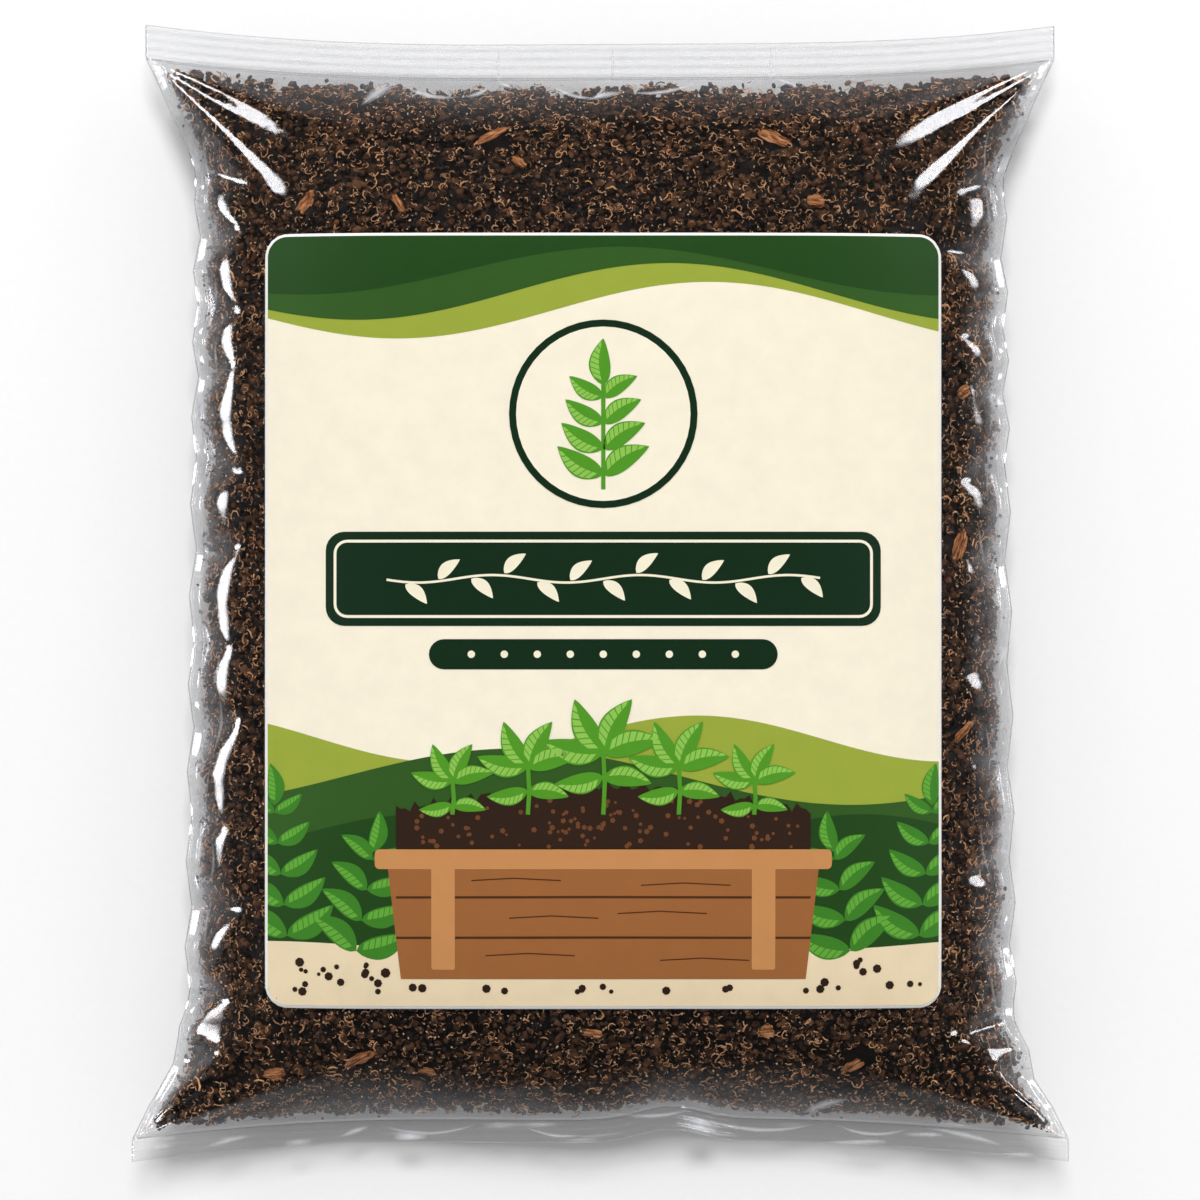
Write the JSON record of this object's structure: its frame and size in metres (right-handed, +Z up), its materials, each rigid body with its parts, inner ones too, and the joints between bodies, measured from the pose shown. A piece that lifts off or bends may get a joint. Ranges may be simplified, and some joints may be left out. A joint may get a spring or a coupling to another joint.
{
  "type": "bag of loam soil",
  "caption": "Clear heat-sealed plastic pillow bag full of dark loam soil with bark chips, with a blank-worded paper label on its front, lying on its back.",
  "frame": {"origin": "under the middle of the bag's bounding box, on the surface that the bag lies on", "axes": "+Z up out of the front label, +Y towards the top seal, +X to the right of the label as it is read"},
  "size_m": [0.2034, 0.247, 0.0425],
  "materials": {
    "clear_film": "glossy clear polyethylene film",
    "loam": "matt dark brown crumbs with fibres",
    "label_paper": "satin coated paper, cream with green print",
    "bark": "rough fibrous bark"
  },
  "bodies": {
    "root": {"film_bag": "clear_film", "loam_soil": "loam", "front_label": "label_paper", "bark_chip_01": "bark", "bark_chip_02": "bark", "bark_chip_03": "bark", "bark_chip_04": "bark", "bark_chip_05": "bark", "bark_chip_06": "bark", "bark_chip_07": "bark", "bark_chip_08": "bark", "bark_chip_09": "bark", "bark_chip_10": "bark", "bark_chip_11": "bark", "bark_chip_12": "bark", "bark_chip_13": "bark", "bark_chip_14": "bark", "bark_chip_15": "bark"}
  },
  "joints": []
}
